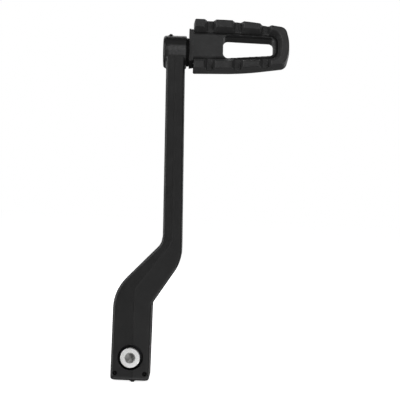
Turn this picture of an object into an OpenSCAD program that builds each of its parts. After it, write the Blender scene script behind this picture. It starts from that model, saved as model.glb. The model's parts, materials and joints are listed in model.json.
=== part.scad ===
// Motorcycle gear shift lever: a forged lever with a serrated pinch clamp at its foot and a
// rubber-gripped toe peg bolted to the boss at its head.
// Frame: millimetres. The origin is the middle of the shaft bore, +X runs outboard along the
// shift shaft to the peg, -Y is the front, where the pinch bolt's head is, and +Z runs up the lever.

/* [Clamp block] */
// Width of the block, which is also the length of the shaft bore
block_w = 25.5; // [21:0.1:32]
// Depth of the block, front to back
block_d = 28; // [25:0.5:36]
// Diameter of the bore across the tips of its serrations
bore_d = 15; // [13:0.1:18]
// Number of serrations round the bore
serrations = 36; // [24:1:48]
// Depth of each serration
serration_h = 0.45; // [0.3:0.05:0.6]
// Width of the slit that lets the clamp close
slit_w = 2.5; // [1.5:0.1:4]
// Wall between the bore and the pinch bolt's hole
bolt_wall = 1.8; // [1:0.1:4]
// From the pinch bolt's axis to the lower end of the block
end_wall = 15.5; // [12:0.2:20]
// Depth of the counterbore for the pinch bolt's head
sink_depth = 7.6; // [5:0.1:9]

/* [Arm] */
// From the shift shaft's axis to the peg's axis
reach = 191.3; // [150:1:240]
// How far outboard of the bore's middle the arm stands, at its foot
jog = 24.95; // [20:0.1:34]
// How far the arm leans back inboard on its way up to the boss
lean = 3.23; // [0:0.05:6]
// Width of the arm at its foot
foot_w = 13; // [10:0.1:16]
// Width of the arm at the boss
neck_w = 12.1; // [10:0.1:14]
// Height of the bend where the block's inboard side turns outboard
inner_bend_z = 30.2; // [26:0.5:40]
// Height of the bend where the block's outboard side turns outboard
outer_bend_z = 21.8; // [20:0.1:30]
// Height at which the arm's inboard side straightens
inner_foot_z = 63.1; // [58:0.5:80]
// Height at which the arm's outboard side straightens
outer_foot_z = 51; // [48:0.5:70]

/* [Boss] */
// Diameter of the boss
boss_d = 22; // [19:0.2:28]
// Width of the boss
boss_w = 15.65; // [13:0.1:20]
// How far the boss's middle lies inboard of the arm's middle
boss_shift = 0.5; // [0:0.05:2]
// How far the boss stands proud of the arm, front and back
boss_proud = 0.3; // [0.2:0.1:3]
// Angle at which the boss and its peg rise outboard, to stand square to the leaning arm
boss_cant = 0.9; // [0:0.1:2]

/* [Fasteners] */
// Thread diameter of the pinch bolt and the peg bolt
bolt_d = 8; // [6:1:10]
// Thread length of the peg bolt inside the peg
peg_thread = 16; // [12:0.5:19]
// Diameter of the washer between the boss and the peg
thrust_washer_d = 19; // [16:0.5:20]
// How far the pinch bolt's end stays below the back of the block
bolt_end_gap = 2; // [0.5:0.5:5]

/* [Peg] */
// Length of the peg from its washer to its tip
peg_len = 68; // [58:0.1:80]
// Width of the peg across its rubber grip, at the lever end
peg_w = 35.4; // [30:0.2:42]
// Width of the peg across its rubber grip, at the tip
tip_w = 26.2; // [20:0.2:32]
// How far the middle of the peg stands above the bolt's axis
peg_rise = 3.5; // [0:0.1:5]
// Angle at which the peg is clamped, its front face turned up
peg_tilt = 9; // [0:1:30]
// Front face of the core, forward of the bolt's axis
core_front = 6.4; // [6:0.1:9]
// Back face of the core, behind the bolt's axis
core_back = 6.2; // [6:0.1:12]
// Height of the rubber cleats above the grooves between them
cleat_h = 5.7; // [2:0.1:6]
// Number of grooves across each rail
grooves = 3; // [2:1:4]
// Width of each groove at its floor
groove_floor = 3.8; // [2:0.1:5]

/* [Peg slot] */
// From the lever end of the peg to the slot
slot_start = 22.85; // [22:0.1:26]
// Wall of the core above and below the slot
slot_wall = 1.55; // [1.2:0.05:3]
// Wall of the core beyond the slot's narrow end
slot_end_wall = 2.5; // [1.5:0.1:5]
// Height of the slot at its wide end
slot_h = 15.5; // [10:0.1:17]
// Height of the slot at its narrow end
slot_tip_h = 11.8; // [8:0.1:13]
// How far the slot's wide end sits below the middle of the peg
slot_drop = 0.7; // [0:0.1:1]

/* [Hidden] */

$fn = 64;
chord = 0.03;        // how far an arc's chords may lie inside the true arc
over = 1;            // how far a cutter runs past the face it starts from

// Cap screws, washers and their holes, in the proportions of the metric standards
head_d = 1.5 * bolt_d + 1;
head_h = bolt_d;
socket_af = 0.75 * bolt_d;
socket_h = 0.5 * bolt_d;
washer_d = 2 * bolt_d;
washer_t = 0.2 * bolt_d;
washer_hole = bolt_d + 0.4;
lock_d = 1.85 * bolt_d;
lock_t = 0.25 * bolt_d;
lock_split = 1.2;
thread_d = bolt_d - 0.2;
thread_gap = 0.05;           // radial clearance of a thread in its tapped hole
pass_gap = 0.25;             // radial clearance of a bolt in a plain hole
swivel_gap = 0.1;            // radial clearance of the peg bolt in the boss
seat_gap = 0.75;             // radial clearance of a washer in its counterbore
lock_gap = 0.2;              // radial clearance of the lock washer in the boss
head_recess = 0.2;           // how far the peg bolt's head lies below the boss's face
edge = 0.4;                  // chamfer on bolts and washers

// Clamp block
bolt_drop = bore_d / 2 + serration_h + bolt_wall + bolt_d / 2 + pass_gap;
block_low = bolt_drop + end_wall;
block_corner_r = 2;
block_end_r = 3;
serration_half_angle = 0.43 * 360 / serrations;   // half of what a groove spans at its root
serration_overlap = 0.35;    // how far a groove's cutter runs inside the bore
sink_d = washer_d + 2 * seat_gap;
dimple_d = 3;
dimple_depth = 2;
dimple_x = block_w / 2 - 3;
dimple_z = -(block_low - 4.9);

// Side view: the block stays full depth up to its shoulder, then tapers to the boss
shoulder_z = 28;
shoulder_r = 60;
neck_d = boss_d - 2 * boss_proud;
boss_edge = 0.8;

// Bend radii of the front view
inner_bend_r = 29;
outer_bend_r = 4;
inner_foot_r = 11;
outer_foot_r = 26;

// Trimmed stubs of the forging's flash, on its parting line
stub_h = 0.85;
foot_stub_w = 2.4;
foot_stub_x = 1.9;
head_stub_w = 1.8;
head_stub_x = -2.9;
stub_len = 6;

boss_x = jog - lean - boss_shift;
neck_x = jog - lean;
seat_u = head_recess + head_h - boss_w / 2;   // underside of the peg bolt's head, on its lock washer

// Peg, in its own frame: u from the washer to the tip, w up from the middle of its width
peg_u = boss_w / 2 + washer_t;   // the peg's lever end, from the middle of the boss
rubber_start = 3.2;
flange_len = rubber_start - 0.1;
flange_half = peg_w / 2 - 3.5;   // the flange that holds the rubber's lever end, at its widest
flange_front_half = flange_half - 3.2;
flange_wide_y = 2.5;
flange_taper = 0.8;              // how much narrower it is on its rubber side
core_half = slot_h / 2 + slot_wall;
tip_rubber = 8.5;                // rubber beyond the core's tip
core_tip = peg_len - tip_rubber;
core_tip_half = slot_tip_h / 2 + slot_wall;
slot_len = core_tip - slot_end_wall - slot_start;
bulge_u = 0.535 * peg_len;       // where the peg's sides turn in towards the tip
bulge_drop = 0.55;
tip_bow = 2.7;                   // how far the tip's middle stands out from its corners
tip_round = 0.6;                 // what the rounding takes off the tip's middle
core_edge_w = 1.5;               // chamfer round the core's front face
core_edge_h = 0.8;
rib_out = 2;                     // retaining rib round the core's edge
rib_front = -3.5;
rib_back = 3.5;
rubber_gap = 0.05;
floor_y = -(core_front - 0.6);   // floor of the grooves between the cleats
cleat_y = floor_y - cleat_h;
cleat_run = 2.6;                 // how far a cleat's inner wall slopes back over its height
cleat_draft = 0.9;               // how far its outer wall leans in from the widest section
wide_y = 1.5;                    // the widest section of the rubber
rubber_back = core_back + 0.8;
back_slope = 3;                  // how far the rubber's back edge slopes in
groove_run = 1.85;
first_groove = 14.1;
last_groove_back = 8.4;          // from the last groove to the core's tip
last_groove = core_tip - last_groove_back;
groove_pitch = (last_groove - first_groove) / (grooves - 1);

function unit(v) = v / norm(v);
function turn_steps(r, turn) = max(2, ceil(turn / (2 * acos(1 - chord / r))));

// The arc that rounds corner b, between corners a and c. A corner is [x, y, radius].
function corner_arc(a, b, c) =
    b[2] == 0 ? [[b.x, b.y]] :
    let (
        corner = [b.x, b.y],
        to_a = unit([a.x, a.y] - corner),
        to_c = unit([c.x, c.y] - corner),
        half = acos(to_a * to_c) / 2,
        centre = corner + unit(to_a + to_c) * b[2] / sin(half),
        from = corner + to_a * b[2] / tan(half) - centre,
        to = corner + to_c * b[2] / tan(half) - centre,
        start = atan2(from.y, from.x),
        sweep = (atan2(to.y, to.x) - start + 540) % 360 - 180,
        steps = turn_steps(b[2], abs(sweep))
    )
    [for (i = [0 : steps]) centre + b[2] * [cos(start + sweep * i / steps), sin(start + sweep * i / steps)]];

// An outline's points, each of its corners rounded.
function rounded(corners) =
    let (n = len(corners))
    [for (i = [0 : n - 1]) each corner_arc(corners[(i + n - 1) % n], corners[i], corners[(i + 1) % n])];

// Corners on one side of the peg's middle, followed by their mirror images.
function both_sides(corners) = concat(
    corners,
    [for (i = [len(corners) - 1 : -1 : 0]) if (corners[i].y != 0)
        [corners[i].x, -corners[i].y, corners[i][2]]]
);

// Extrudes a front view, drawn in X and Z, from y0 to y1.
module front_extrude(y0, y1) {
    translate([0, y1, 0]) rotate([90, 0, 0]) linear_extrude(y1 - y0) children();
}

// Turns a shape made along +Z so that it runs along +X.
module along_x() {
    rotate([90, 0, 90]) children();
}

// Turns a shape made along +Z so that it runs along +Y.
module along_y() {
    rotate([-90, 0, 0]) children();
}

// Puts a shape drawn round the boss's middle, its axis along X, in its place at the lever's head.
module at_boss() {
    translate([boss_x, 0, reach]) rotate([0, -boss_cant, 0]) children();
}

// ---- Fasteners ----

// Socket head cap screw: the underside of its head is at the origin, its thread runs along +Z.
module cap_screw(length) {
    difference() {
        rotate_extrude() polygon([
            [0, -head_h], [head_d / 2 - 2 * edge, -head_h], [head_d / 2, -head_h + 2 * edge],
            [head_d / 2, 0], [thread_d / 2, 0], [thread_d / 2, length - 2 * edge],
            [thread_d / 2 - 2 * edge, length], [0, length]
        ]);
        translate([0, 0, -head_h - over])
            cylinder(d = socket_af / cos(30), h = socket_h + over, $fn = 6);
        translate([0, 0, -head_h + socket_h - 0.01])
            cylinder(d1 = socket_af - 0.2, d2 = 0.4, h = socket_af / 4);
    }
}

module flat_washer(d) {
    rotate_extrude() polygon([
        [washer_hole / 2, 0], [d / 2, 0], [d / 2, washer_t - edge],
        [d / 2 - edge, washer_t], [washer_hole / 2, washer_t]
    ]);
}

// Spring lock washer, flat under load, with its slanting split.
module lock_washer() {
    difference() {
        cylinder(d = lock_d, h = lock_t);
        translate([0, 0, -over]) cylinder(d = washer_hole, h = lock_t + 2 * over);
        translate([lock_d / 2, 0, lock_t / 2]) rotate([35, 0, 0])
            cube([lock_d, lock_split, 4 * lock_t], center = true);
    }
}

// ---- Lever ----

module lever_front_view() {
    polygon(rounded([
        [-block_w / 2, -block_low, block_corner_r],
        [block_w / 2, -block_low, block_corner_r],
        [block_w / 2, outer_bend_z, outer_bend_r],
        [jog + foot_w / 2, outer_foot_z, outer_foot_r],
        [neck_x + neck_w / 2, reach, 0],
        [neck_x - neck_w / 2, reach, 0],
        [jog - foot_w / 2, inner_foot_z, inner_foot_r],
        [-block_w / 2, inner_bend_z, inner_bend_r]
    ]));
}

module lever_side_view() {
    polygon(rounded([
        [-block_d / 2, -block_low, block_end_r],
        [block_d / 2, -block_low, block_end_r],
        [block_d / 2, shoulder_z, shoulder_r],
        [neck_d / 2, reach, 0],
        [-neck_d / 2, reach, 0],
        [-block_d / 2, shoulder_z, shoulder_r]
    ]));
}

// The bore's section: a circle with a ring of small pointed grooves.
module bore_section() {
    circle(d = bore_d);
    polygon([
        for (i = [0 : serrations - 1], side = [-1, 0, 1])
            let (
                angle = 360 * (i + 0.5) / serrations + side * serration_half_angle,
                r = bore_d / 2 + (side == 0 ? serration_h : -serration_overlap)
            )
            r * [cos(angle), sin(angle)]
    ]);
}

// The boss, its axis along Z, with its edges broken.
module boss() {
    rotate_extrude() polygon([
        [0, -boss_w / 2], [boss_d / 2 - boss_edge, -boss_w / 2], [boss_d / 2, boss_edge - boss_w / 2],
        [boss_d / 2, boss_w / 2 - boss_edge], [boss_d / 2 - boss_edge, boss_w / 2], [0, boss_w / 2]
    ]);
}

module flash_stubs() {
    translate([foot_stub_x - foot_stub_w / 2, -block_d / 2 + block_end_r, -block_low - stub_h])
        cube([foot_stub_w, stub_len, stub_h + over]);
    at_boss() translate([head_stub_x - head_stub_w / 2, -stub_len / 2, boss_d / 2 - over])
        cube([head_stub_w, stub_len, stub_h + over]);
}

module lever_arm() {
    color([0.09, 0.09, 0.095]) difference() {
        union() {
            intersection() {
                front_extrude(-block_d, block_d) lever_front_view();
                translate([-block_w, 0, 0]) along_x() linear_extrude(2 * block_w + jog) lever_side_view();
            }
            at_boss() along_x() boss();
            flash_stubs();
        }
        // shaft bore and the slit below it
        translate([-block_w / 2 - over, 0, 0]) along_x() linear_extrude(block_w + 2 * over) bore_section();
        translate([-block_w / 2 - over, -slit_w / 2, -block_low - over - stub_h])
            cube([block_w + 2 * over, slit_w, block_low + over + stub_h]);
        // pinch bolt: counterbore, plain hole in the front ear, tapped hole in the back ear
        translate([0, -block_d / 2, -bolt_drop]) along_y() {
            translate([0, 0, -over]) cylinder(d = sink_d, h = sink_depth + over);
            cylinder(r = bolt_d / 2 + pass_gap, h = block_d / 2);
            cylinder(r = thread_d / 2 + thread_gap, h = block_d + over);
        }
        // peg bolt: plain hole, and a counterbore from the inboard side
        at_boss() translate([-boss_w / 2 - over, 0, 0]) along_x() {
            cylinder(r = thread_d / 2 + swivel_gap, h = boss_w + 2 * over);
            cylinder(d = lock_d + 2 * lock_gap, h = head_recess + head_h + lock_t + over);
        }
        // round dimples near the lower corners of the front face
        for (side = [-1, 1])
            translate([side * dimple_x, -block_d / 2 - over, dimple_z]) along_y()
                cylinder(d = dimple_d, h = dimple_depth + over);
    }
}

module pinch_bolt() {
    seat_y = -block_d / 2 + sink_depth - washer_t;
    color([0.78, 0.78, 0.77]) translate([0, seat_y, -bolt_drop]) along_y()
        cap_screw(block_d / 2 - bolt_end_gap - seat_y);
}

module pinch_washer() {
    color([0.12, 0.12, 0.12]) translate([0, -block_d / 2 + sink_depth, -bolt_drop])
        rotate([90, 0, 0]) flat_washer(washer_d);
}

// ---- Peg ----

// Puts a shape drawn in the peg's own frame in its place on the boss.
module on_peg() {
    at_boss() rotate([-peg_tilt, 0, 0]) translate([peg_u, 0, 0]) children();
}

// Extrudes an outline of the peg, drawn round the middle of its width, from y0 to y1.
module peg_extrude(y0, y1) {
    translate([0, 0, peg_rise]) front_extrude(y0, y1) children();
}

// Outer edge of the rubber, taken in by a margin.
module grip_outline(margin = 0) {
    polygon(rounded(both_sides([
        [rubber_start + margin, peg_w / 2 - margin, 0.8],
        [bulge_u, peg_w / 2 - bulge_drop - margin, 200],
        [peg_len - tip_bow - margin, tip_w / 2 - margin, 5],
        [peg_len + tip_round - margin, 0, 25]
    ])));
}

// Edge of the core between the rails, let out by a margin.
module core_outline(margin = 0, start = 0) {
    polygon(rounded(both_sides([
        [start, core_half + margin - bulge_drop * start / (bulge_u + 2), 0],
        [bulge_u + 2, core_half - bulge_drop + margin, 100 + margin],
        [core_tip + margin, core_tip_half + margin, 4.5 + margin]
    ])));
}

module slot_outline() {
    polygon(rounded([
        [slot_start, slot_h / 2 - slot_drop, 3.3],
        [slot_start + slot_len, slot_tip_h / 2, 3],
        [slot_start + slot_len, -slot_tip_h / 2, 3],
        [slot_start, -slot_h / 2 - slot_drop, 3.3]
    ]));
}

module flange_outline(half) {
    polygon([[0, half], [flange_len, half - flange_taper], [flange_len, flange_taper - half], [0, -half]]);
}

module peg_core() {
    color([0.13, 0.13, 0.135]) on_peg() difference() {
        union() {
            hull() {
                peg_extrude(-core_front + core_edge_h, core_back) core_outline();
                peg_extrude(-core_front, core_back) core_outline(-core_edge_w);
            }
            peg_extrude(rib_front, rib_back) core_outline(rib_out, rubber_start);
            hull() {
                peg_extrude(-core_front, core_back) flange_outline(flange_front_half);
                peg_extrude(flange_wide_y - 0.01, flange_wide_y) flange_outline(flange_half);
            }
        }
        peg_extrude(-core_front - over, core_back + over) slot_outline();
        translate([-over, 0, 0]) along_x() cylinder(r = thread_d / 2 + thread_gap, h = peg_thread + 2 * over);
    }
}

// The grooves between the cleats, which run right across the peg.
module cleat_grooves() {
    for (i = [0 : grooves - 1])
        translate([first_groove + i * groove_pitch, 0, -peg_w])
            linear_extrude(2 * peg_w) polygon([
                [-groove_floor / 2, floor_y], [groove_floor / 2, floor_y],
                [groove_floor / 2 + groove_run * (1 + over / cleat_h), cleat_y - over],
                [-groove_floor / 2 - groove_run * (1 + over / cleat_h), cleat_y - over]
            ]);
}

module peg_rubber() {
    color([0.11, 0.11, 0.11]) on_peg() difference() {
        hull() {
            peg_extrude(cleat_y, wide_y) grip_outline(cleat_draft);
            peg_extrude(wide_y - 0.01, wide_y) grip_outline();
            peg_extrude(wide_y, rubber_back) grip_outline(back_slope);
        }
        // the core's bed, and the sloping inner walls of the cleats
        peg_extrude(floor_y - over, rubber_back + over) core_outline(rubber_gap, 0);
        peg_extrude(rib_front - rubber_gap, rib_back + rubber_gap)
            core_outline(rib_out + rubber_gap, 0);
        hull() {
            peg_extrude(floor_y, floor_y + over) core_outline(rubber_gap, 0);
            peg_extrude(cleat_y - 0.01, floor_y) core_outline(cleat_run, 0);
        }
        cleat_grooves();
    }
}

module peg_bolt() {
    color([0.16, 0.16, 0.16]) at_boss() translate([seat_u, 0, 0]) along_x()
        cap_screw(peg_u + peg_thread - seat_u);
}

module peg_lock_washer() {
    color([0.2, 0.2, 0.2]) at_boss() translate([seat_u, 0, 0]) along_x() lock_washer();
}

module peg_washer() {
    color([0.12, 0.12, 0.12]) at_boss() translate([boss_w / 2, 0, 0]) along_x() flat_washer(thrust_washer_d);
}

lever_arm();
pinch_bolt();
pinch_washer();
peg_core();
peg_rubber();
peg_bolt();
peg_lock_washer();
peg_washer();
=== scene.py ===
"""Motorcycle gear shift lever, standing on its clamp end in soft studio light.

A forged lever with a satin black coat carries a toe peg, a black casting gripped by a rubber
moulding, on a bolt through the boss at its head. Sizes in this file are millimetres until a
mesh is made; the meshes are in metres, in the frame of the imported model.
"""

import json
import math

import bmesh
import bpy
import numpy as np
from mathutils import Matrix, Vector


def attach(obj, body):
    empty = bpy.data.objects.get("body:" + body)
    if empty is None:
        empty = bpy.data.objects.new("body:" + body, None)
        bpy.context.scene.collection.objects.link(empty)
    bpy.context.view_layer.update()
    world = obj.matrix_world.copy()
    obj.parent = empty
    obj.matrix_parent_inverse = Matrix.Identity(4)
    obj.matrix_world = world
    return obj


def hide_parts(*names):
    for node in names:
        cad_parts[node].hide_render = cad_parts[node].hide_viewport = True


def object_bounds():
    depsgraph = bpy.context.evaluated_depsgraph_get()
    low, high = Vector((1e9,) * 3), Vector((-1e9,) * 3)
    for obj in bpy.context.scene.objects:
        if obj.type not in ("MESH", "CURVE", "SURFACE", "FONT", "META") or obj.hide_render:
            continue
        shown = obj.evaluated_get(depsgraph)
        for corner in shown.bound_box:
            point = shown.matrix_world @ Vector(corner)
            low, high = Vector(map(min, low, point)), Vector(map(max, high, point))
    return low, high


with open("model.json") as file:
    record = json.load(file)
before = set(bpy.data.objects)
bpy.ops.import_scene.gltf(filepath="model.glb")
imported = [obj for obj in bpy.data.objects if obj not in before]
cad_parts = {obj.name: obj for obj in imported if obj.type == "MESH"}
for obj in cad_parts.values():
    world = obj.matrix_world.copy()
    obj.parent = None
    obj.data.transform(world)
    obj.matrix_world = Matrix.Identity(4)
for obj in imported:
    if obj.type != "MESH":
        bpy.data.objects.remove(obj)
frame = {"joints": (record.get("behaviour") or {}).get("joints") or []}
cad_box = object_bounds()

MM = 0.001

# ---- Sizes of the lever ----

BLOCK_HALF = 12.92  # half the clamp block's width
BLOCK_DEPTH = 14.0  # half its depth
BLOCK_LOW = -29.5
BLOCK_CORNER = 2.0
BLOCK_END = 3.0
REACH = 191.3
ARM_FOOT_X, ARM_FOOT_HALF = 25.0, 6.6
# Height and radius of each bend, up the inboard edge and up the outboard edge
INNER_BEND, INNER_FOOT = (30.2, 29), (63.1, 11)
OUTER_BEND, OUTER_FOOT = (21.8, 4), (51, 26)
NECK_X, NECK_HALF = 21.83, 6.17
NECK_DEPTH = 10.7
SHOULDER_Z = 28.0
FRONT_EDGE, BACK_EDGE = 1.8, 0.8  # rounding along the forging's long edges
DRAFT = 0.034  # how fast the faces fall away from the parting line
DRAFT_REACH, DRAFT_FADE = 14, 100  # across from the line, and down from the boss
PARTING_LINE = [(2.2, BLOCK_LOW, 0), (1.0, 31.5, 8), (24.6, 63.5, 12), (NECK_X, REACH, 0)]
BOSS_RADIUS, BOSS_HALF = 11.0, 7.825
BOSS_INBOARD_EDGE, BOSS_OUTBOARD_EDGE = 1.9, 0.5  # the rounding of its rims
HIGHLIGHT_BAND_LOW, HIGHLIGHT_BAND_HIGH = -3.2, 4.2  # the painted highlight band on its front, about its axis
DIMPLE_RADIUS, DIMPLE_X, DIMPLE_Z = 1.5, BLOCK_HALF - 3, -24.6
BORE_RADIUS, SERRATION, SERRATIONS = 7.5, 0.45, 36
SLIT = 2.5

# ---- Sizes of the fasteners ----

HEAD_RADIUS, HEAD_HEIGHT = 6.5, 8.0
SOCKET_ACROSS, SOCKET_DEPTH = 6.0, 4.0
THREAD_RADIUS, THREAD_PITCH, THREAD_DEPTH = 3.9, 1.25, 0.55
KNURLS, KNURL_DEPTH = 54, 0.22
WASHER_HOLE, WASHER_THICK = 4.2, 1.6
CLAMP_WASHER_RADIUS, THRUST_WASHER_RADIUS = 8.0, 9.5
SPRING_RADIUS, SPRING_THICK = 7.4, 2.0
PINCH_Z = -14.0
SINK_RADIUS, SINK_DEPTH = 8.4, 7.6
PLAIN_HOLE, TAPPED_HOLE, PEG_HOLE = 4.25, 4.05, 4.0  # radii
PEG_SINK_RADIUS = 7.6
CLAMP_SCREW_SHORT = 2  # from the block's back face in to the clamp screw's end
PEG_SCREW_BITE = 16  # how far the peg screw goes into the peg
HEAD_BELOW_RIM = 0.2  # from the boss's inboard face to the peg screw's head

# ---- Sizes of the peg, in its own frame: u out to the tip, y from front to back, w up ----

PEG_LENGTH = 68.0
PEG_START = BOSS_HALF + WASHER_THICK
PEG_RISE, PEG_TILT = 3.4, 9.0
GRIP_START, GRIP_HALF, TIP_HALF = 2.85, 17.85, 13.2
BULGE_U, BULGE_DROP = 36.38, 0.55
TIP_BOW, TIP_ROUND = 2.7, 0.6  # how far the tip's middle stands out, and what its rounding takes
GRIP_CORNER, GRIP_BULGE, TIP_CORNER, TIP_MIDDLE = 0.8, 200, 5, 25  # radii of the rubber's edge
CORE_BULGE, CORE_CORNER = 100, 4.5  # radii of the casting's edge
CORE_FRONT, CORE_BACK = -6.4, 6.2
CORE_HALF, CORE_TIP, CORE_TIP_HALF = 9.3, 59.5, 7.45
CORE_BULGE_U = BULGE_U + 2
RIB_HALF, RIB_OUT = 3.4, 1.9  # the rib round the casting that holds the rubber
RUBBER_START, RUBBER_BACK = 3.2, 7.0
CLEAT_Y, GROOVE_Y, WIDE_Y = -11.5, -5.8, 1.5
SLOT_START, SLOT_END = 22.95, 56.7
SLOT_HALF, SLOT_TIP_HALF, SLOT_DROP = 7.75, 5.9, 0.7
SLOT_CORNER, SLOT_TIP_CORNER = 3.3, 3.0
SLOT_DRAFT = 0.9  # how much lower its upper wall is at the back
GROOVES, FIRST_GROOVE, GROOVE_PITCH = 3, 14.1, 18.5
GROOVE_HALF, GROOVE_RUN = 1.9, 1.85  # half the floor's width, and the slope of each side
FLANGE_HALF, FLANGE_WIDE_HALF, FLANGE_WIDE_Y = 11.0, 14.2, 2.5
FLANGE_TAPER = 0.5


# ---- Outlines ----


def corner_arc(corners, i, steps):
    """The points that round corner i, each corner being x, y and radius."""
    x, y, radius = corners[i]
    corner = Vector((x, y))
    if radius == 0:
        return [corner]
    before = (Vector(corners[i - 1][:2]) - corner).normalized()
    after = (Vector(corners[(i + 1) % len(corners)][:2]) - corner).normalized()
    half = before.angle(after) / 2
    centre = corner + (before + after).normalized() * radius / math.sin(half)
    first = corner + before * radius / math.tan(half) - centre
    last = corner + after * radius / math.tan(half) - centre
    turn = first.angle_signed(last)
    return [centre + Matrix.Rotation(-turn * n / steps, 2) @ first for n in range(steps + 1)]


def rounded(corners, steps=8):
    """An outline's points, its corners rounded in the same number of steps each."""
    return [point for i in range(len(corners)) for point in corner_arc(corners, i, steps)]


def both_sides(corners):
    """Corners above the middle of the peg, then their mirror images below it."""
    return corners + [(u, -w, r) for u, w, r in reversed(corners) if w != 0]


def grip_outline(margin=0.0):
    """The rubber's outer edge, taken in by a margin."""
    return rounded(
        both_sides(
            [
                (GRIP_START + margin, GRIP_HALF - margin, GRIP_CORNER),
                (BULGE_U, GRIP_HALF - BULGE_DROP - margin, GRIP_BULGE),
                (PEG_LENGTH - TIP_BOW - margin, TIP_HALF - margin, TIP_CORNER),
                (PEG_LENGTH + TIP_ROUND - margin, 0, TIP_MIDDLE),
            ]
        )
    )


def core_outline(margin=0.0, start=0.0):
    """The casting's edge between the rails of rubber, let out by a margin, from u = start."""
    drop = BULGE_DROP * start / CORE_BULGE_U
    return rounded(
        both_sides(
            [
                (start, CORE_HALF + margin - drop, 0),
                (CORE_BULGE_U, CORE_HALF - BULGE_DROP + margin, CORE_BULGE + margin),
                (CORE_TIP + margin, CORE_TIP_HALF + margin, CORE_CORNER + margin),
            ]
        )
    )


def slot_outline(top=0.0, bottom=0.0, lever_end=0.0, tip=0.0):
    """The slot through the casting, let out by so much on each side."""
    return rounded(
        [
            (SLOT_START - lever_end, SLOT_HALF - SLOT_DROP + top, SLOT_CORNER),
            (SLOT_END + tip, SLOT_TIP_HALF + top, SLOT_TIP_CORNER),
            (SLOT_END + tip, -SLOT_TIP_HALF - bottom, SLOT_TIP_CORNER),
            (SLOT_START - lever_end, -SLOT_HALF - SLOT_DROP - bottom, SLOT_CORNER),
        ]
    )


# ---- Mesh making ----


def mesh_piece(name, corners, faces):
    """A new object at the origin, from corners in millimetres, with its faces outward."""
    mesh = bpy.data.meshes.new(name)
    mesh.from_pydata([Vector(c) * MM for c in corners], [], faces)
    work = bmesh.new()
    work.from_mesh(mesh)
    bmesh.ops.remove_doubles(work, verts=work.verts, dist=1e-7)
    bmesh.ops.recalc_face_normals(work, faces=work.faces)
    bmesh.ops.triangulate(work, faces=[f for f in work.faces if len(f.verts) > 4])
    work.to_mesh(mesh)
    work.free()
    piece = bpy.data.objects.new(name, mesh)
    bpy.context.scene.collection.objects.link(piece)
    return piece


def skin(name, rings, ring_shaped=False):
    """A closed solid through rings of equally many corners: capped, or joined last to first."""
    count = len(rings[0])
    faces = []
    for row in range(len(rings) if ring_shaped else len(rings) - 1):
        here, there = row * count, (row + 1) % len(rings) * count
        for i in range(count):
            after = (i + 1) % count
            faces.append((here + i, here + after, there + after, there + i))
    if not ring_shaped:
        faces.append(tuple(range(count)))
        faces.append(tuple(range((len(rings) - 1) * count, len(rings) * count)))
    return mesh_piece(name, [c for ring in rings for c in ring], faces)


def stack(name, layers):
    """A solid through outlines in u and w, each at its own y."""
    return skin(name, [[(p[0], y, p[1]) for p in outline] for y, outline in layers])


def lathe(name, profile, sides=96, ring_shaped=False):
    """A solid of revolution about Z from (radius, height) corners."""
    rings = []
    for radius, height in profile:
        turn = [2 * math.pi * i / sides for i in range(sides)]
        rings.append([(radius * math.cos(a), radius * math.sin(a), height) for a in turn])
    return skin(name, rings, ring_shaped)


def block(name, low, high):
    """A cutter with square corners."""
    (x0, y0, z0), (x1, y1, z1) = low, high
    ends = [[(x, y0, z0), (x, y1, z0), (x, y1, z1), (x, y0, z1)] for x in (x0, x1)]
    return skin(name, ends)


def settle(piece):
    """Makes what the piece's modifiers give into its plain mesh."""
    graph = bpy.context.evaluated_depsgraph_get()
    mesh = bpy.data.meshes.new_from_object(piece.evaluated_get(graph))
    piece.modifiers.clear()
    piece.data = mesh
    return piece


def combine(piece, others, operation="DIFFERENCE"):
    """Cuts the other solids out of a piece, or joins them to it."""
    for other in others:
        modifier = piece.modifiers.new(operation.lower(), "BOOLEAN")
        modifier.operation = operation
        modifier.solver = "MANIFOLD"
        modifier.object = other
        settle(piece)
        bpy.data.objects.remove(other)
    return piece


def soften(piece, voxel, passes):
    """Remeshes a solid finely and rounds its edges, as a die or a mould leaves them."""
    remesh = piece.modifiers.new("voxels", "REMESH")
    remesh.mode = "VOXEL"
    remesh.voxel_size = voxel * MM
    smooth = piece.modifiers.new("soft edges", "SMOOTH")
    smooth.factor = 0.5
    smooth.iterations = passes
    return settle(piece)


def place(piece, matrix):
    """Puts a piece made round its own axis in its place on the lever."""
    piece.data.transform(matrix)
    return piece


def shade(piece, angle=32):
    """Smooth shading, with edges sharper than an angle left crisp."""
    mesh = piece.data
    mesh.polygons.foreach_set("use_smooth", [True] * len(mesh.polygons))
    mesh.set_sharp_from_angle(angle=math.radians(angle))
    return piece


def finish_piece(piece, material, body, node):
    """Gives a piece its finish and its body, and lets it stand for its CAD node."""
    piece.data.materials.clear()
    piece.data.materials.append(material)
    shade(piece)
    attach(piece, body)
    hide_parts(node)
    return piece


# ---- Places on the lever ----

swivel = frame["joints"][0]
swivel_axis = Vector(swivel["axis"]).normalized()
cant = math.atan2(swivel_axis.z, swivel_axis.x)
AT_BOSS = Matrix.Translation(swivel["pos_m"]) @ Matrix.Rotation(-cant, 4, "Y")
ALONG_X = Matrix.Rotation(math.radians(90), 4, "Z") @ Matrix.Rotation(math.radians(90), 4, "X")
ON_PEG = (
    AT_BOSS
    @ Matrix.Rotation(math.radians(-PEG_TILT), 4, "X")
    @ Matrix.Translation((PEG_START * MM, 0, PEG_RISE * MM))
)


def pinch_place(y):
    """The clamp bolt's axis, with +Z of a fastener turned to the back, its origin at y."""
    turn = Matrix.Rotation(math.radians(-90), 4, "X")
    return Matrix.Translation((0, y * MM, PINCH_Z * MM)) @ turn


# ---- Geometry node trees ----


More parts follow.
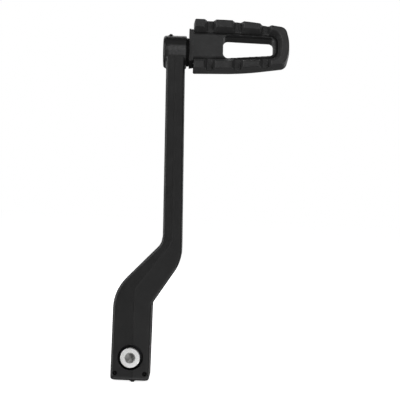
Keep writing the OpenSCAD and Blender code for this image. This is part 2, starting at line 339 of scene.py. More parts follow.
def tree_with(name, inputs):
    """An empty geometry tree with a mesh in, a mesh out and named inputs."""
    tree = bpy.data.node_groups.new(name, "GeometryNodeTree")
    tree.interface.new_socket("Mesh", in_out="INPUT", socket_type="NodeSocketGeometry")
    for label, kind in inputs:
        tree.interface.new_socket(label, in_out="INPUT", socket_type="NodeSocket" + kind)
    tree.interface.new_socket("Material", in_out="INPUT", socket_type="NodeSocketMaterial")
    tree.interface.new_socket("Mesh", in_out="OUTPUT", socket_type="NodeSocketGeometry")
    return tree


def maths(tree, operation, *values):
    """One maths node; a value is a number or another node's socket."""
    node = tree.nodes.new("ShaderNodeMath")
    node.operation = operation
    for i, value in enumerate(values):
        if isinstance(value, (int, float)):
            node.inputs[i].default_value = value
        else:
            tree.links.new(value, node.inputs[i])
    return node.outputs[0]


def end_tree(tree, geometry, group_in):
    """Realizes the result, gives it its material and sends it out."""
    realize = tree.nodes.new("GeometryNodeRealizeInstances")
    finish = tree.nodes.new("GeometryNodeSetMaterial")
    out = tree.nodes.new("NodeGroupOutput")
    tree.links.new(geometry, realize.inputs[0])
    tree.links.new(realize.outputs[0], finish.inputs["Geometry"])
    tree.links.new(group_in.outputs["Material"], finish.inputs["Material"])
    tree.links.new(finish.outputs[0], out.inputs[0])


def ridge_tree():
    """Ribs along the axis and a helical thread, pressed into a turned piece round Z."""
    names = (
        "Rib Count", "Rib Depth", "Rib Low", "Rib High",
        "Thread Pitch", "Thread Depth", "Thread Low", "Thread High", "Run Out",
    )  # fmt: skip
    tree = tree_with("ridges", [(n, "Float") for n in names])
    group_in = tree.nodes.new("NodeGroupInput")
    position = tree.nodes.new("GeometryNodeInputPosition")
    split = tree.nodes.new("ShaderNodeSeparateXYZ")
    tree.links.new(position.outputs[0], split.inputs[0])
    x, y, z = split.outputs
    turns = maths(tree, "DIVIDE", maths(tree, "ARCTAN2", y, x), 2 * math.pi)

    def wave(phase):
        return maths(tree, "MULTIPLY", maths(tree, "PINGPONG", phase, 0.5), 2.0)

    def between(low, high):
        run_out = group_in.outputs["Run Out"]
        rise = maths(tree, "DIVIDE", maths(tree, "SUBTRACT", z, group_in.outputs[low]), run_out)
        fall = maths(tree, "DIVIDE", maths(tree, "SUBTRACT", group_in.outputs[high], z), run_out)
        least = maths(tree, "MINIMUM", maths(tree, "MINIMUM", rise, fall), 1.0)
        return maths(tree, "MAXIMUM", least, 0.0)

    ribs = wave(maths(tree, "MULTIPLY", turns, group_in.outputs["Rib Count"]))
    ribs = maths(tree, "MULTIPLY", ribs, group_in.outputs["Rib Depth"])
    ribs = maths(tree, "MULTIPLY", ribs, between("Rib Low", "Rib High"))
    climb = maths(tree, "DIVIDE", z, group_in.outputs["Thread Pitch"])
    thread = wave(maths(tree, "SUBTRACT", climb, turns))
    thread = maths(tree, "MULTIPLY", thread, group_in.outputs["Thread Depth"])
    thread = maths(tree, "MULTIPLY", thread, between("Thread Low", "Thread High"))
    depth = maths(tree, "MULTIPLY", maths(tree, "ADD", ribs, thread), -1.0)
    flat = tree.nodes.new("ShaderNodeCombineXYZ")
    tree.links.new(x, flat.inputs[0])
    tree.links.new(y, flat.inputs[1])
    outward = tree.nodes.new("ShaderNodeVectorMath")
    outward.operation = "NORMALIZE"
    tree.links.new(flat.outputs[0], outward.inputs[0])
    inward = tree.nodes.new("ShaderNodeVectorMath")
    inward.operation = "SCALE"
    tree.links.new(outward.outputs[0], inward.inputs[0])
    tree.links.new(depth, inward.inputs["Scale"])
    press = tree.nodes.new("GeometryNodeSetPosition")
    tree.links.new(group_in.outputs["Mesh"], press.inputs["Geometry"])
    tree.links.new(inward.outputs[0], press.inputs["Offset"])
    end_tree(tree, press.outputs[0], group_in)
    return tree


def row_tree():
    """A row of copies along X, at an even pitch."""
    tree = tree_with("row", [("Count", "Int"), ("Pitch", "Float")])
    group_in = tree.nodes.new("NodeGroupInput")
    step = tree.nodes.new("ShaderNodeCombineXYZ")
    tree.links.new(group_in.outputs["Pitch"], step.inputs[0])
    line = tree.nodes.new("GeometryNodeMeshLine")
    tree.links.new(group_in.outputs["Count"], line.inputs["Count"])
    tree.links.new(step.outputs[0], line.inputs["Offset"])
    copies = tree.nodes.new("GeometryNodeInstanceOnPoints")
    tree.links.new(line.outputs[0], copies.inputs["Points"])
    tree.links.new(group_in.outputs["Mesh"], copies.inputs["Instance"])
    end_tree(tree, copies.outputs[0], group_in)
    return tree


def grow(piece, tree, **values):
    """Runs a geometry tree on a piece, its inputs set by identifier, and keeps the result."""
    modifier = piece.modifiers.new(tree.name, "NODES")
    modifier.node_group = tree
    wanted = {name.replace("_", " "): value for name, value in values.items()}
    for socket in tree.interface.items_tree:
        if socket.in_out == "INPUT" and socket.name in wanted:
            modifier[socket.identifier] = wanted[socket.name]
    return settle(piece)


RIDGES = ridge_tree()
ROW = row_tree()

# ---- Finishes ----


class Finish:
    """A material under construction, with short names for the nodes that it is made of."""

    def __init__(self, name, colour, roughness, metallic=0.0, specular=0.5):
        self.material = bpy.data.materials.new(name)
        self.material.use_nodes = True
        self.tree = self.material.node_tree
        self.shader = self.tree.nodes["Principled BSDF"]
        self.shader.inputs["Base Color"].default_value = (*colour, 1)
        self.shader.inputs["Roughness"].default_value = roughness
        self.shader.inputs["Metallic"].default_value = metallic
        self.shader.inputs["Specular IOR Level"].default_value = specular
        self.coords = self.tree.nodes.new("ShaderNodeTexCoord").outputs["Object"]
        self.normal = None

    def link(self, a, b):
        self.tree.links.new(a, b)

    def noise(self, size, detail=2.0, stretch=None):
        """Noise whose grains are about so many millimetres across."""
        node = self.tree.nodes.new("ShaderNodeTexNoise")
        node.inputs["Scale"].default_value = 1 / (size * MM)
        node.inputs["Detail"].default_value = detail
        source = self.coords
        if stretch:
            mapping = self.tree.nodes.new("ShaderNodeMapping")
            mapping.inputs["Scale"].default_value = stretch
            self.link(self.coords, mapping.inputs["Vector"])
            source = mapping.outputs[0]
        self.link(source, node.inputs["Vector"])
        return node.outputs[0]

    def ranged(self, value, low, high, to_low, to_high):
        """A value carried from one range to another and held inside it."""
        node = self.tree.nodes.new("ShaderNodeMapRange")
        self.link(value, node.inputs["Value"])
        for name, number in zip(
            ("From Min", "From Max", "To Min", "To Max"), (low, high, to_low, to_high)
        ):
            node.inputs[name].default_value = number
        return node.outputs[0]

    def blend_colour(self, factor, under, over):
        """The base colour, by a factor between a colour, or a node's socket, and a colour."""
        mix = self.tree.nodes.new("ShaderNodeMix")
        mix.data_type = "RGBA"
        first, second = mix.inputs[6], mix.inputs[7]  # the two colours of this kind of mix
        self.link(factor, mix.inputs["Factor"])
        if isinstance(under, tuple):
            first.default_value = (*under, 1)
        else:
            self.link(under, first)
        second.default_value = (*over, 1)
        self.link(mix.outputs[2], self.shader.inputs["Base Color"])

    def rough(self, value):
        self.link(value, self.shader.inputs["Roughness"])

    def bump(self, height, depth, strength=1.0):
        """Relief of so many millimetres, added to what is there already."""
        node = self.tree.nodes.new("ShaderNodeBump")
        node.inputs["Distance"].default_value = depth * MM
        node.inputs["Strength"].default_value = strength
        self.link(height, node.inputs["Height"])
        if self.normal:
            self.link(self.normal, node.inputs["Normal"])
        self.normal = node.outputs[0]
        self.link(self.normal, self.shader.inputs["Normal"])

    def times(self, a, b):
        return maths(self.tree, "MULTIPLY", a, b)

    def cover(self, factor, colour):
        """Lays another colour over what is there already, by a factor."""
        covered = self.shader.inputs["Base Color"].links[0].from_socket
        self.blend_colour(factor, covered, colour)

    def wear(self, colour, start, full, patch=3.0):
        """Another colour along the outer edges, in patches of so many millimetres."""
        geometry = self.tree.nodes.new("ShaderNodeNewGeometry")
        edge = self.ranged(geometry.outputs["Pointiness"], start, full, 0, 1)
        self.cover(self.times(edge, self.ranged(self.noise(patch, 4), 0.4, 0.65, 0.25, 1)), colour)

    def attribute(self, name):
        node = self.tree.nodes.new("ShaderNodeAttribute")
        node.attribute_name = name
        return node.outputs["Fac"]


def grey(level):
    return (level, level, level * 1.02)


def coat_finish():
    """Satin black coat over a forging: fine orange peel, slow waves, a trimmed parting line, and a
    painted highlight band across the front of the boss.
    """
    finish = Finish("satin_black_coat", grey(0.006), 0.4)
    cloud = finish.noise(9, 3)
    finish.blend_colour(finish.ranged(cloud, 0.35, 0.65, 0, 1), grey(0.005), grey(0.008))
    finish.rough(finish.ranged(finish.noise(2.2, 4), 0.3, 0.7, 0.36, 0.46))
    finish.bump(finish.noise(14, 2), 0.35, 0.5)
    finish.bump(finish.noise(0.55, 2), 0.02, 0.6)
    finish.wear(grey(0.03), 0.51, 0.56)
    # painted highlight: a lighter, mottled band across the front of the boss, where the key
    # light's reflection falls
    mottled = finish.ranged(finish.noise(1.6, 3), 0.35, 0.65, 0.55, 1)
    finish.cover(finish.times(finish.attribute("rub_wear_and_highlight"), mottled), grey(0.05))
    seam = finish.attribute("parting_line")
    finish.bump(finish.ranged(seam, 0.15, 0.6, 1, 0), 0.09, 0.8)
    return finish.material


def casting_finish():
    """Matt black casting: the grain of its mould under a thin dull coat."""
    finish = Finish("black_casting", grey(0.014), 0.5)
    cloud = finish.noise(6, 3)
    finish.blend_colour(finish.ranged(cloud, 0.35, 0.65, 0, 1), grey(0.012), grey(0.017))
    finish.rough(finish.ranged(finish.noise(1.5, 4), 0.3, 0.7, 0.42, 0.52))
    finish.bump(finish.noise(0.5, 3), 0.035, 0.7)
    finish.wear(grey(0.05), 0.515, 0.57, 2.0)
    return finish.material


def rubber_finish():
    """Moulded black rubber: dull, faintly dusty, with a fine grain."""
    finish = Finish("moulded_rubber", grey(0.02), 0.6)
    cloud = finish.noise(5, 4)
    finish.blend_colour(finish.ranged(cloud, 0.35, 0.7, 0, 1), grey(0.016), grey(0.024))
    finish.rough(finish.ranged(finish.noise(1.2, 3), 0.3, 0.7, 0.48, 0.6))
    finish.bump(finish.noise(0.35, 2), 0.03, 0.6)
    finish.bump(finish.noise(4, 2), 0.12, 0.4)
    finish.wear(grey(0.045), 0.515, 0.58)
    finish.shader.inputs["Sheen Weight"].default_value = 0.06
    return finish.material


def plated_finish(name, colour, roughness, metallic=1.0):
    """Plated or oxided steel: turning marks across the axis, small handling marks, and painted
    shade darkening the screw's socket.
    """
    finish = Finish(name, colour, roughness, metallic=metallic)
    cloud = finish.noise(1.6, 4)
    light = tuple(min(1, c * 1.12) for c in colour)
    finish.blend_colour(finish.ranged(cloud, 0.35, 0.65, 0, 1), colour, light)
    finish.rough(finish.ranged(finish.noise(0.8, 4), 0.3, 0.7, roughness - 0.06, roughness + 0.08))
    finish.bump(finish.noise(0.3, 3, stretch=(1, 4, 1)), 0.008, 0.6)
    finish.wear(tuple(min(1, c * 1.3) for c in colour), 0.52, 0.6, 1.0)
    # painted shade: the inside of the hex socket darkened to 0.42 of the plating's colour
    finish.cover(finish.attribute("painted_socket_shade"), tuple(c * 0.42 for c in colour))
    return finish.material


def dull_finish():
    """Dull black paint on the thrust washer, rubbed a little where the peg turns on it."""
    finish = Finish("dull_black_paint", grey(0.004), 0.75, specular=0.15)
    rub_wear_and_highlight = finish.ranged(finish.noise(1.2, 4), 0.45, 0.75, 0, 1)
    finish.blend_colour(rub_wear_and_highlight, grey(0.003), grey(0.008))
    finish.rough(finish.ranged(finish.noise(0.7, 3), 0.3, 0.7, 0.65, 0.8))
    finish.bump(finish.noise(0.4, 2), 0.02, 0.5)
    finish.wear(grey(0.02), 0.52, 0.6, 1.0)
    return finish.material


COAT = coat_finish()
DULL = dull_finish()
CASTING = casting_finish()
RUBBER = rubber_finish()
PLATED = plated_finish("zinc_plated_steel", (0.98, 0.98, 0.96), 0.3, 0.42)
OXIDED = plated_finish("black_oxided_steel", (0.045, 0.045, 0.047), 0.42)

# ---- The lever ----


def edge_line(corners, steps=16):
    """An open line through corners (x, z, radius), with its rounded corners' middles marked."""
    points, middles = [], []
    for i, (_, _, radius) in enumerate(corners):
        if radius:
            middles.append(len(points) + steps // 2)
        points += corner_arc(corners, i, steps)
    return points, middles


def spaced(points, count):
    """The same line through evenly spaced points."""
    lengths = [0.0]
    for a, b in zip(points, points[1:]):
        lengths.append(lengths[-1] + (b - a).length)
    result, i = [], 0
    for step in range(count + 1):
        wanted = lengths[-1] * step / count
        while i < len(points) - 2 and lengths[i + 1] < wanted:
            i += 1
        share = (wanted - lengths[i]) / (lengths[i + 1] - lengths[i])
        result.append(points[i].lerp(points[i + 1], share))
    return result


def arm_edges():
    """Matching points up the inboard and outboard edges of the front view."""
    inboard, outboard = (
        edge_line(corners)
        for corners in (
            [
                (-BLOCK_HALF, BLOCK_LOW, 0),
                (-BLOCK_HALF, *INNER_BEND),
                (ARM_FOOT_X - ARM_FOOT_HALF, *INNER_FOOT),
                (NECK_X - NECK_HALF, REACH, 0),
            ],
            [
                (BLOCK_HALF, BLOCK_LOW, 0),
                (BLOCK_HALF, *OUTER_BEND),
                (ARM_FOOT_X + ARM_FOOT_HALF, *OUTER_FOOT),
                (NECK_X + NECK_HALF, REACH, 0),
            ],
        )
    )
    pairs = []
    for part, count in enumerate((24, 18, 30)):
        sides = []
        for points, middles in (inboard, outboard):
            cuts = [0, *middles, len(points) - 1]
            sides.append(spaced(points[cuts[part] : cuts[part + 1] + 1], count))
        pairs += list(zip(*sides))[0 if part == 0 else 1 :]
    return pairs


def half_depth(z):
    """Half the forging's depth: full at the block, tapering from its shoulder to the boss."""
    blend_from, blend_to = SHOULDER_Z - 8, SHOULDER_Z + 8
    slope = (NECK_DEPTH - BLOCK_DEPTH) / (REACH - SHOULDER_Z)
    if z <= blend_from:
        return BLOCK_DEPTH
    if z >= blend_to:
        return BLOCK_DEPTH + slope * (z - SHOULDER_Z)
    share = (z - blend_from) / (blend_to - blend_from)
    return BLOCK_DEPTH + slope * (blend_to - SHOULDER_Z) * share * share


def section(left, right, inset=0.0, depth_inset=0.0):
    """A section of the forging between two edge points, its corners rounded."""
    across = right - left
    width = across.length
    across.normalize()
    steps = 5
    ring = []
    for side, front in ((-1, -1), (1, -1), (1, 1), (-1, 1)):
        edge = FRONT_EDGE if front < 0 else BACK_EDGE
        for step in range(steps + 1):
            share = step / steps if side * front > 0 else 1 - step / steps
            angle = math.radians(90) * share
            a = width / 2 - inset - edge * (1 - math.cos(angle))
            d = edge * (1 - math.sin(angle)) + depth_inset
            ring.append((side * a, front, d))
    middle = (left + right) / 2
    corners = []
    for a, front, d in ring:
        at = middle + across * a
        corners.append((at.x, front * (half_depth(at.y) - d), at.y))
    return corners


def fall_back(radius, lift):
    """How far a rounded edge lies inside its corner, at a height above the end it rounds."""
    return radius - math.sqrt(max(0, radius**2 - (radius - lift) ** 2))


def lever_solid():
    """The forging before it is machined."""
    pairs = arm_edges()
    rings = []
    for step in range(7):  # the rounded lower end of the block
        lift = BLOCK_END * (1 - math.cos(math.radians(15 * step)))
        inset = fall_back(BLOCK_CORNER, min(lift, BLOCK_CORNER))
        depth_inset = fall_back(BLOCK_END, lift)
        left, right = (Vector((x, BLOCK_LOW + lift)) for x in (-BLOCK_HALF, BLOCK_HALF))
        rings.append(section(left, right, inset, depth_inset))
    rings += [section(a, b) for a, b in pairs if a.y > BLOCK_LOW + BLOCK_END + 0.5]
    return skin("lever_forging", rings)


def arc(centre, radius, start, end, steps=6):
    """Points on an arc of a lathe profile, its angles in degrees."""
    points = []
    for i in range(steps + 1):
        angle = math.radians(start + (end - start) * i / steps)
        points.append((centre[0] + radius * math.cos(angle), centre[1] + radius * math.sin(angle)))
    return points


def boss_solid():
    """The boss at the lever's head, more rounded inboard than on its face to the peg."""
    inboard, outboard = BOSS_INBOARD_EDGE, BOSS_OUTBOARD_EDGE
    profile = [(0, -BOSS_HALF)]
    profile += arc((BOSS_RADIUS - inboard, inboard - BOSS_HALF), inboard, -90, 0)
    profile += arc((BOSS_RADIUS - outboard, BOSS_HALF - outboard), outboard, 0, 90)
    profile += [(0, BOSS_HALF)]
    return place(lathe("boss", profile), AT_BOSS @ ALONG_X)


def flash_stubs():
    """Trimmed ends of the forging's flash, under the block and on top of the boss."""
    foot = block("foot_stub", (0.7, -11.5, BLOCK_LOW - 1.0), (3.1, -4, BLOCK_LOW + 2))
    head = block("head_stub", (-3.9, -3, BOSS_RADIUS - 2), (-1.9, 3, BOSS_RADIUS + 0.95))
    return [foot, place(head, AT_BOSS)]


def bore_cutters():
    """The serrated shaft bore, its lead-in chamfers and the slit below it."""
    outer = BORE_RADIUS + SERRATION
    end = BLOCK_HALF + 1
    bore = lathe("bore", [(0, -end), (outer, -end), (outer, end), (0, end)], 4 * SERRATIONS)
    far = 10 * end * MM
    grow(
        bore, RIDGES,
        Rib_Count=SERRATIONS, Rib_Depth=SERRATION * MM, Rib_Low=-far, Rib_High=far, Run_Out=MM,
        Thread_Pitch=MM, Thread_Depth=0.0, Thread_Low=0.0, Thread_High=0.0,
    )  # fmt: skip
    cutters = [place(bore, ALONG_X)]
    for side in (-1, 1):
        wide = (outer + 1.2, side * (BLOCK_HALF + 0.6))
        tight = (outer - 0.6, side * (BLOCK_HALF - 1.2))
        cone = lathe("lead_in", [(0, wide[1]), wide, tight, (0, tight[1])])
        cutters.append(place(cone, ALONG_X))
    cutters.append(block("slit", (-end, -SLIT / 2, BLOCK_LOW - 3), (end, SLIT / 2, 0)))
    return cutters


def screw_hole(name, radius, rings, point=0.0):
    """A cutter from 1 mm outside a face, with six rings to each turn of a thread."""
    wall = [(radius, -1 + i * THREAD_PITCH / 6) for i in range(rings)]
    return lathe(name, [(0, wall[0][1]), *wall, (0, wall[-1][1] + point)], 64)


def bolt_cutters():
    """Counterbores and holes for the clamp bolt and the peg bolt, and the two dimples."""
    outside, flare, bottom = -BLOCK_DEPTH - 1, 0.45, SINK_DEPTH - BLOCK_DEPTH
    sink_profile = [
        (0, outside),
        (SINK_RADIUS + flare + 1, outside),
        (SINK_RADIUS, outside + 1 + flare),
        (SINK_RADIUS, bottom),
        (0, bottom),
    ]
    sink = lathe("sink", sink_profile)
    plain_profile = [(0, -BLOCK_DEPTH), (PLAIN_HOLE, -BLOCK_DEPTH), (PLAIN_HOLE, 0), (0, 0)]
    plain = lathe("plain_hole", plain_profile, 64)
    tapped = screw_hole("tapped_hole", TAPPED_HOLE, 78)
    grow(
        tapped, RIDGES,
        Rib_Count=0.0, Rib_Depth=0.0, Rib_Low=0.0, Rib_High=0.0, Run_Out=0.1 * MM,
        Thread_Pitch=THREAD_PITCH * MM, Thread_Depth=0.12 * MM,
        Thread_Low=-0.5 * MM, Thread_High=20 * MM,
    )  # fmt: skip
    low, high = BLOCK_DEPTH - 1.2, BLOCK_DEPTH + 0.8
    mouth = lathe("mouth", [(0, low), (3.4, low), (5.4, high), (0, high)], 64)
    cutters = [place(c, pinch_place(0)) for c in (sink, plain, tapped, mouth)]
    seat = HEAD_HEIGHT + SPRING_THICK + HEAD_BELOW_RIM - BOSS_HALF
    face, wide = -BOSS_HALF, PEG_SINK_RADIUS
    well_profile = [
        (0, face - 1),
        (wide + 1.4, face - 1),
        (wide, face + 0.4),
        (wide, seat),
        (0, seat),
    ]
    well = lathe("well", well_profile)
    beyond = BOSS_HALF + 1
    through_profile = [(0, face), (PEG_HOLE, face), (PEG_HOLE, beyond), (0, beyond)]
    through = lathe("through", through_profile, 64)
    cutters += [place(c, AT_BOSS @ ALONG_X) for c in (well, through)]
    for x in (-DIMPLE_X, DIMPLE_X):
        r = DIMPLE_RADIUS
        dimple = lathe("dimple", [(0, -1), (r + 0.7, -1), (r + 0.1, 0.25), (r, 2.6), (0, 4.2)], 32)
        turn = Matrix.Rotation(math.radians(-90), 4, "X")
        at = Matrix.Translation((x * MM, -BLOCK_DEPTH * MM, DIMPLE_Z * MM))
        cutters.append(place(dimple, at @ turn))
    return cutters


def read_points(piece):
    flat = np.empty(len(piece.data.vertices) * 3, np.float32)
    piece.data.vertices.foreach_get("co", flat)
    return flat.reshape(-1, 3) / MM


def from_parting_line(points):
    """How far points lie from the parting line in the front view, in millimetres."""
    line = [np.array(p) for p in edge_line(PARTING_LINE)[0]]
    best = np.full(len(points), 1e9)
    for a, b in zip(line, line[1:]):
        along = b - a
        share = np.clip(((points[:, (0, 2)] - a) @ along) / (along @ along), 0, 1)
        gap = np.linalg.norm(points[:, (0, 2)] - a - share[:, None] * along, axis=1)
        best = np.minimum(best, gap)
    return best


def add_draft(piece):
    """Lets the front and back faces fall away on each side of the parting line."""
    points = read_points(piece)
    gap = np.minimum(from_parting_line(points), DRAFT_REACH)
    below_boss = REACH - BOSS_RADIUS - points[:, 2]
    fade = np.clip(below_boss / DRAFT_FADE, 0, 1)  # none left at the boss
    points[:, 1] *= 1 - DRAFT / BLOCK_DEPTH * gap * fade
    piece.data.vertices.foreach_set("co", (points * MM).astype(np.float32).ravel())
    piece.data.update()


def mark(piece, name, values):
    """Stores a value at each of a mesh's points, for its finish to read."""
    piece.data.attributes.new(name, "FLOAT", "POINT").data.foreach_set("value", values)


def mark_forging(piece):
    """Marks the parting line, and the band on the front of the boss where a highlight is painted.
    """
    points = read_points(piece)
    mark(piece, "parting_line", from_parting_line(points))
    from_axis = np.hypot(points[:, 1], points[:, 2] - REACH)
    # the front of the boss between these heights carries the painted highlight
    on_rim = np.clip((from_axis - (BOSS_RADIUS - 0.35)) / 0.15, 0, 1)
    height = points[:, 2] - REACH
    in_band = np.clip((height - HIGHLIGHT_BAND_LOW) / 0.5, 0, 1)
    in_band *= np.clip((HIGHLIGHT_BAND_HIGH - height) / 0.8, 0, 1)
    across = np.clip((points[:, 0] - (NECK_X - 5.5)) / 1.5, 0, 1)
    mark(piece, "rub_wear_and_highlight", on_rim * in_band * across * (points[:, 1] < 0))


def make_lever():
    solid = combine(lever_solid(), [boss_solid(), *flash_stubs()], "UNION")
    soften(solid, 0.5, 4)
    add_draft(solid)
    combine(solid, [*bore_cutters(), *bolt_cutters()])
    mark_forging(solid)
    return finish_piece(solid, COAT, "lever", "lever_arm")


# ---- Fasteners ----


def cap_screw(name, length, thread_from, material):
    """A socket head cap screw, the underside of its head at the origin, its thread along +Z."""
    top, crown = -HEAD_HEIGHT, 0.4
    shank = [(THREAD_RADIUS, 0.0)]
    rings = int(round((length - 0.8) / (THREAD_PITCH / 6)))
    shank += [(THREAD_RADIUS, (length - 0.8) * i / rings) for i in range(1, rings + 1)]
    profile = [(0, top), (HEAD_RADIUS - crown, top)]
    profile += arc((HEAD_RADIUS - crown, top + crown), crown, -90, 0, 4)
    profile += [(HEAD_RADIUS, top + 1.1), (HEAD_RADIUS, -0.9)]
    profile += [(HEAD_RADIUS - 0.3, -0.3), (HEAD_RADIUS - 0.5, 0)]
    profile += [*shank, (THREAD_RADIUS - 0.8, length), (0, length)]
    screw = lathe(name, profile, 2 * KNURLS)
    grow(
        screw, RIDGES,
        Rib_Count=KNURLS, Rib_Depth=KNURL_DEPTH * MM, Rib_Low=(top + 0.9) * MM, Rib_High=-0.5 * MM,
        Thread_Pitch=THREAD_PITCH * MM, Thread_Depth=THREAD_DEPTH * MM,
        Thread_Low=thread_from * MM, Thread_High=(length - 0.2) * MM, Run_Out=0.4 * MM,
        Material=material,
    )  # fmt: skip
    corner = SOCKET_ACROSS / 2 / math.cos(math.radians(30))
    floor = top + SOCKET_DEPTH
    point = floor + 1.1
    six_sided = [(0, top - 1), (corner, top - 1), (corner, floor), (0.3, point), (0, point)]
    cone = [(0, top - 1), (corner + 1.25, top - 1), (corner - 0.35, top + 0.6), (0, top + 0.6)]
    combine(screw, [lathe("socket", six_sided, 6), lathe("socket_mouth", cone, 64)])
    # marks the inside of the socket, where the finish paints shade
    points = read_points(screw)
    inside = np.hypot(points[:, 0], points[:, 1]) < corner + 0.7
    mark(screw, "painted_socket_shade", inside & (points[:, 2] > top + 0.05) & (points[:, 2] < point + 0.1))
    return screw


def flat_washer(name, radius):
    """A stamped washer: rolled over on one side, sharp on the other."""
    thick = WASHER_THICK
    profile = [(WASHER_HOLE + 0.15, 0), (radius - 0.1, 0), (radius, 0.1)]
    profile += arc((radius - 0.4, thick - 0.4), 0.4, 0, 90, 5)
    profile += [(WASHER_HOLE + 0.25, thick), (WASHER_HOLE, thick - 0.25), (WASHER_HOLE, 0.15)]
    return lathe(name, profile, 96, True)


def spring_washer(name):
    """A split spring washer, flat under load, of a strip with rounded corners."""
    inner, outer, thick = WASHER_HOLE, SPRING_RADIUS, SPRING_THICK
    corner = 0.25
    profile = [
        (inner + corner, 0), (outer - corner, 0), (outer, corner), (outer, thick - corner),
        (outer - corner, thick), (inner + corner, thick), (inner, thick - corner), (inner, corner),
    ]  # fmt: skip
    gap = 0.075
    rings = []
    for i in range(73):
        share = i / 72
        ring = []
        for radius, height in profile:
            slant = 0.09 * (height / thick - 0.5)
            angle = gap + slant + (2 * math.pi - 2 * gap) * share
            ring.append((radius * math.cos(angle), radius * math.sin(angle), height))
        rings.append(ring)
    return skin(name, rings)


def make_fasteners():
    seat_y = SINK_DEPTH - BLOCK_DEPTH - WASHER_THICK
    length = BLOCK_DEPTH - CLAMP_SCREW_SHORT - seat_y
    clamp_screw = cap_screw("clamp_screw", length, thread_from=4.0, material=PLATED)
    place(clamp_screw, pinch_place(seat_y))
    finish_piece(clamp_screw, PLATED, "lever", "pinch_bolt")
    clamp_washer = flat_washer("clamp_washer", CLAMP_WASHER_RADIUS)
    back_to_front = Matrix.Rotation(math.radians(180), 4, "X")
    place(clamp_washer, pinch_place(SINK_DEPTH - BLOCK_DEPTH) @ back_to_front)
    finish_piece(clamp_washer, OXIDED, "lever", "pinch_washer")
    head_seat = HEAD_HEIGHT + HEAD_BELOW_RIM - BOSS_HALF
    at_boss = AT_BOSS @ ALONG_X
    length = PEG_START + PEG_SCREW_BITE - head_seat
    peg_screw = cap_screw("peg_screw", length, thread_from=11.0, material=OXIDED)
    place(peg_screw, at_boss @ Matrix.Translation((0, 0, head_seat * MM)))
    finish_piece(peg_screw, OXIDED, "peg", "peg_bolt")
    split_washer = spring_washer("split_washer")
    place(split_washer, at_boss @ Matrix.Translation((0, 0, head_seat * MM)))
    finish_piece(split_washer, OXIDED, "lever", "peg_lock_washer")
    thrust_washer = flat_washer("thrust_washer", THRUST_WASHER_RADIUS)
    place(thrust_washer, at_boss @ Matrix.Translation((0, 0, BOSS_HALF * MM)))
    finish_piece(thrust_washer, DULL, "lever", "peg_washer")


# ---- The peg ----


def flange(half_front, half_wide):
    """The flange at the peg's lever end, its corners slanting back to their widest."""
    length = GRIP_START + 0.2

    def outline(half):
        inner = half - FLANGE_TAPER
        return [Vector(p) for p in ((0, half), (length, inner), (length, -inner), (0, -half))]

    return stack(
        "flange",
        [
            (CORE_FRONT - 0.02, outline(half_front)),
            (FLANGE_WIDE_Y, outline(half_wide)),
            (CORE_BACK + 0.02, outline(half_front)),
        ],
    )


def make_casting():
    """The peg's black casting, between its two rails of rubber."""
    body = stack(
        "peg_casting",
        [
            (CORE_FRONT, core_outline(-1.5)),
            (CORE_FRONT + 0.8, core_outline()),
            (CORE_BACK - 0.4, core_outline()),
            (CORE_BACK, core_outline(-0.4)),
        ],
    )
    edge = core_outline(RIB_OUT, RUBBER_START)
    combine(body, [stack("rib", [(-RIB_HALF, edge), (RIB_HALF, edge)])], "UNION")
    drafted = slot_outline(-SLOT_DRAFT)
    slot = stack("slot", [(CORE_FRONT - 1, slot_outline()), (CORE_BACK + 1, drafted)])
    mouth = slot_outline(0.9, 0.1, 0.1, 0.2)
    flare = stack("slot_flare", [(CORE_FRONT - 1, mouth), (CORE_FRONT + 2.4, slot_outline())])
    mouth = slot_outline(0.3 - SLOT_DRAFT, 0.3, 0.3, 0.3)
    back_flare = stack("back_flare", [(CORE_BACK - 0.8, drafted), (CORE_BACK + 0.5, mouth)])
    combine(body, [slot, flare, back_flare])
    soften(body, 0.3, 2)
    combine(body, [soften(flange(FLANGE_HALF, FLANGE_WIDE_HALF), 0.3, 1)], "UNION")
    hole = screw_hole("tapped_end", PEG_HOLE, 87, 1.5)
    lift = Matrix.Translation((0, 0, -PEG_RISE * MM))
    combine(body, [place(hole, lift @ ALONG_X)])
    place(body, ON_PEG)
    return finish_piece(body, CASTING, "peg", "peg_core")


def groove_cutters():
    """The grooves that part the rails into cleats, wider at their mouths."""
    half, above = GROOVE_HALF, CLEAT_Y - 1
    mouth = half + GROOVE_RUN * (GROOVE_Y - above) / (GROOVE_Y - CLEAT_Y)
    profile = [(-half, GROOVE_Y), (half, GROOVE_Y), (mouth, above), (-mouth, above)]
    ends = [[(FIRST_GROOVE + u, y, w) for u, y in profile] for w in (-30, 30)]
    return grow(skin("grooves", ends), ROW, Count=GROOVES, Pitch=GROOVE_PITCH * MM)


def make_grip():
    """The rubber: two rails of cleats, joined round the tip."""
    body = stack(
        "grip_rubber",
        [
            (CLEAT_Y, grip_outline(1.3)),
            (CLEAT_Y + 0.5, grip_outline(0.85)),
            (WIDE_Y, grip_outline()),
            (RUBBER_BACK - 0.6, grip_outline(2.7)),
            (RUBBER_BACK, grip_outline(3.4)),
        ],
    )
    snug, wide = core_outline(0.05), core_outline(3.06)
    bed = stack("bed", [(GROOVE_Y - 1, snug), (RUBBER_BACK + 1, snug)])
    rib_edge = core_outline(RIB_OUT + 0.1)
    rib = stack("rib_bed", [(-RIB_HALF - 0.1, rib_edge), (RIB_HALF + 0.1, rib_edge)])
    valley = stack("valley", [(CLEAT_Y - 1, wide), (GROOVE_Y, snug), (GROOVE_Y + 1, snug)])
    combine(body, [bed, rib, valley, groove_cutters()])
    soften(body, 0.34, 3)
    place(body, ON_PEG)
    return finish_piece(body, RUBBER, "peg", "peg_rubber")


# ---- Studio ----

CAMERA_AT = Vector((0.0421, -0.8, 0.0923))
CAMERA_ROLL = math.radians(2.3)
VIEW_WIDTH = 0.2699  # what the camera sees across, at the lever


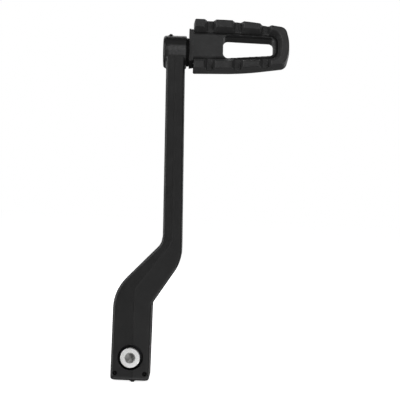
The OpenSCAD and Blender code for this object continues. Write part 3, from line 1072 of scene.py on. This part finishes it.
def make_camera():
    data = bpy.data.cameras.new("camera")
    camera = bpy.data.objects.new("camera", data)
    bpy.context.scene.collection.objects.link(camera)
    data.lens = data.sensor_width * -CAMERA_AT.y / VIEW_WIDTH
    turn = Matrix.Rotation(math.radians(90), 4, "X") @ Matrix.Rotation(CAMERA_ROLL, 4, "Z")
    camera.matrix_world = Matrix.Translation(CAMERA_AT) @ turn
    bpy.context.scene.camera = camera


def soft_light(name, azimuth, elevation, distance, width, height, radiance, at=(0.045, 0, 0.095)):
    """A soft box that faces a point of the lever; azimuth 0 is the front, 90 outboard."""
    data = bpy.data.lights.new(name, "AREA")
    data.shape = "RECTANGLE"
    data.size, data.size_y = width, height
    data.energy = radiance * width * height * math.pi
    light = bpy.data.objects.new(name, data)
    bpy.context.scene.collection.objects.link(light)
    a, e = math.radians(azimuth), math.radians(elevation)
    back = Vector((math.sin(a) * math.cos(e), -math.cos(a) * math.cos(e), math.sin(e)))
    turn = back.to_track_quat("Z", "Y").to_matrix().to_4x4()
    light.matrix_world = Matrix.Translation(Vector(at) + back * distance) @ turn
    light.visible_camera = False


def make_floor():
    """A pale floor, lit from within a little so that its shadows stay faint."""
    material = bpy.data.materials.new("pale_floor")
    material.use_nodes = True
    shader = material.node_tree.nodes["Principled BSDF"]
    shader.inputs["Base Color"].default_value = (0.85, 0.85, 0.85, 1)
    shader.inputs["Roughness"].default_value = 0.9
    shader.inputs["Emission Color"].default_value = (1, 1, 1, 1)
    nodes, links = material.node_tree.nodes, material.node_tree.links
    distance = nodes.new("ShaderNodeVectorMath")
    distance.operation = "LENGTH"
    links.new(nodes.new("ShaderNodeTexCoord").outputs["Object"], distance.inputs[0])
    glow = nodes.new("ShaderNodeMapRange")
    for label, value in (("From Min", 0.2), ("From Max", 0.9), ("To Min", 0.86), ("To Max", 1.0)):
        glow.inputs[label].default_value = value
    links.new(distance.outputs["Value"], glow.inputs["Value"])
    links.new(glow.outputs[0], shader.inputs["Emission Strength"])
    half, level = 6000, cad_box[0].z / MM - 0.05
    corners = [(x * half, y * half, level) for x, y in ((-1, -1), (1, -1), (1, 1), (-1, 1))]
    floor = mesh_piece("floor", corners, [(0, 1, 2, 3)])
    floor.data.materials.append(material)
    floor.visible_glossy = False
    floor.visible_diffuse = False
    floor.visible_shadow = False


def make_world():
    world = bpy.data.worlds.new("studio")
    world.use_nodes = True
    background = world.node_tree.nodes["Background"]
    background.inputs["Color"].default_value = (1, 1, 1, 1)
    background.inputs["Strength"].default_value = 1.0
    bpy.context.scene.world = world
    world.cycles_visibility.glossy = False
    world.cycles_visibility.diffuse = False


def make_studio():
    make_camera()
    make_world()
    make_floor()
    soft_light("key", 14, 28, 1.3, 1.4, 0.38, 2.1)
    soft_light("front_fill", 20, -17, 1.5, 1.8, 1.0, 0.72)
    soft_light("low_card", 30, -42, 1.0, 0.5, 0.4, 0.9)
    soft_light("low_outboard", 62, -42, 1.0, 0.22, 0.22, 13.0)
    soft_light("foot_card", 0, -62, 0.16, 0.12, 0.12, 1.6, (0, -0.01, -0.03))
    soft_light("inboard_side", -58, 10, 1.0, 0.5, 1.3, 3.2)
    soft_light("outboard_side", 82, 20, 1.2, 0.8, 0.7, 0.3)
    soft_light("overhead", 0, 72, 1.2, 1.2, 0.7, 0.35)
    soft_light("low_back", 180, -34, 1.0, 1.4, 0.7, 0.15)
    soft_light("back_fill", 180, 40, 1.3, 1.6, 0.7, 1.8)
    soft_light("back_inboard", -136, 4, 1.3, 0.7, 1.2, 1.6)
    soft_light("back_outboard", 136, 4, 1.3, 0.7, 1.2, 1.6)
    bpy.context.scene.view_settings.view_transform = "Standard"


make_studio()
make_lever()
make_fasteners()
make_casting()
make_grip()
